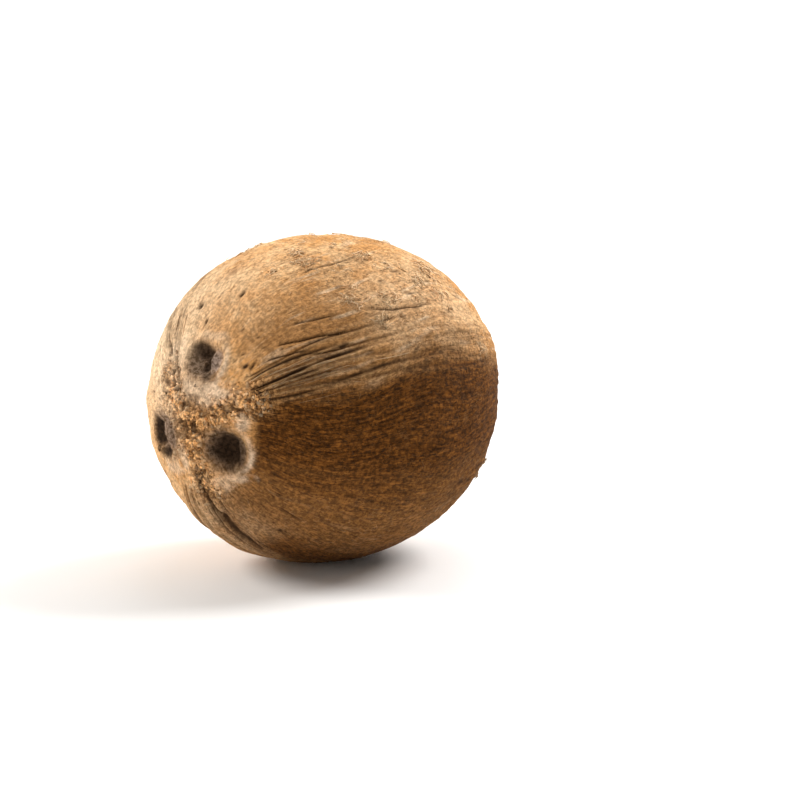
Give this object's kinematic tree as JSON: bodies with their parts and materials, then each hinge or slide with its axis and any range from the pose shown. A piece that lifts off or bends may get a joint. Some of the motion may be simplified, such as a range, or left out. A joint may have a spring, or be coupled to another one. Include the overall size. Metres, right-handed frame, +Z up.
{
  "type": "coconut",
  "caption": "Whole brown coconut with its outer husk removed: an egg-round fruit with long fibrous ridges and eye pits at one end, lying on its side.",
  "frame": {"origin": "centre of the small worn flat under the fruit, which it rests on", "axes": "+Z up, the long axis runs along Y, the eyes face -Y and the blunt tip faces +Y"},
  "size_m": [0.11, 0.1295, 0.1094],
  "materials": {
    "husk": "matte fibrous husk"
  },
  "bodies": {
    "root": {"coconut": "husk"}
  },
  "joints": []
}
